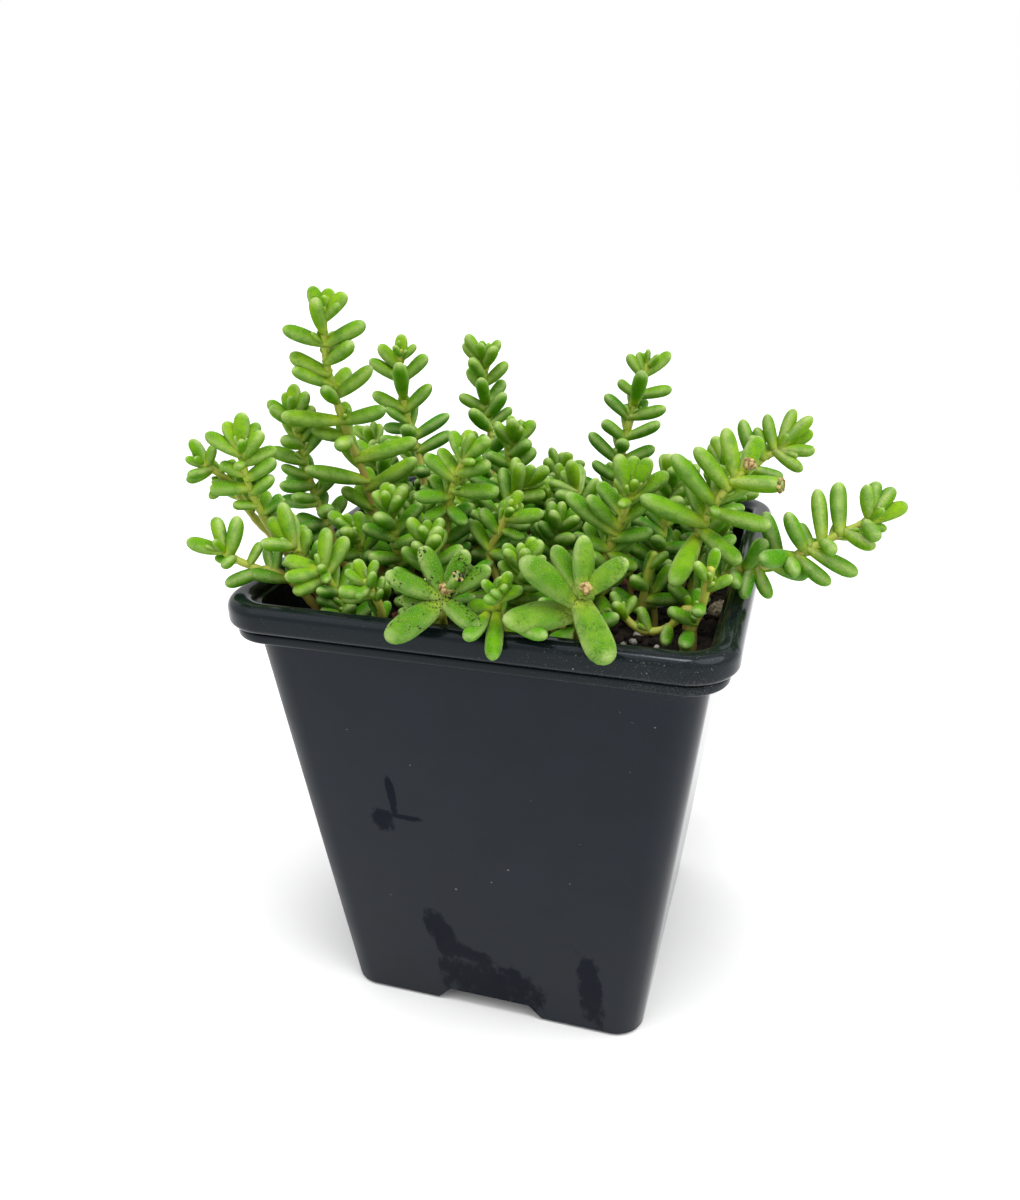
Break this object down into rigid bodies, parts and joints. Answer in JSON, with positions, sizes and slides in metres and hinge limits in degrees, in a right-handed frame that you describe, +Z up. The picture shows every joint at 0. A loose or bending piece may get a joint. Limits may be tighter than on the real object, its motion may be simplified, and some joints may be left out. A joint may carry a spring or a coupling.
{
  "type": "potted goldmoss stonecrop",
  "caption": "Mat-forming succulent with plump leaves on short stems, upright, cut back and trailing over the rim, rooted in compost in a small square nursery pot.",
  "frame": {"origin": "middle of the pot's base, on the face it stands on", "axes": "+Z up, +X and +Y square to the pot's sides, -Y towards the side with the two cut rosettes"},
  "size_m": [0.0946, 0.0762, 0.1101],
  "materials": {
    "pot_plastic": "satin dark slate plastic with fine dust",
    "compost": "dark crumbly peat with bits of bark",
    "leaf_green": "fleshy, slightly translucent, fine frosted skin"
  },
  "bodies": {
    "root": {"pot": "pot_plastic", "soil": "compost", "leafy_stem_01": "leaf_green", "leafy_stem_02": "leaf_green", "leafy_stem_03": "leaf_green", "leafy_stem_04": "leaf_green", "leafy_stem_05": "leaf_green", "leafy_stem_06": "leaf_green", "leafy_stem_07": "leaf_green", "leafy_stem_08": "leaf_green", "leafy_stem_09": "leaf_green", "leafy_stem_10": "leaf_green", "leafy_stem_11": "leaf_green", "leafy_stem_12": "leaf_green", "leafy_stem_13": "leaf_green", "leafy_stem_14": "leaf_green", "leafy_stem_15": "leaf_green", "leafy_stem_16": "leaf_green", "leafy_stem_17": "leaf_green", "leafy_stem_18": "leaf_green", "leafy_stem_19": "leaf_green", "leafy_stem_20": "leaf_green", "leafy_stem_21": "leaf_green", "leafy_stem_22": "leaf_green", "leafy_stem_23": "leaf_green", "leafy_stem_24": "leaf_green", "leafy_stem_25": "leaf_green", "leafy_stem_26": "leaf_green", "leafy_stem_27": "leaf_green", "leafy_stem_28": "leaf_green", "leafy_stem_29": "leaf_green", "leafy_stem_30": "leaf_green", "leafy_stem_31": "leaf_green", "leafy_stem_32": "leaf_green", "leafy_stem_33": "leaf_green", "leafy_stem_34": "leaf_green", "leafy_stem_35": "leaf_green", "leafy_stem_36": "leaf_green", "leafy_stem_37": "leaf_green", "leafy_stem_38": "leaf_green", "leafy_stem_39": "leaf_green", "leafy_stem_40": "leaf_green", "leafy_stem_41": "leaf_green", "leafy_stem_42": "leaf_green", "leafy_stem_43": "leaf_green", "leafy_stem_44": "leaf_green", "leafy_stem_45": "leaf_green", "leafy_stem_46": "leaf_green"}
  },
  "joints": []
}
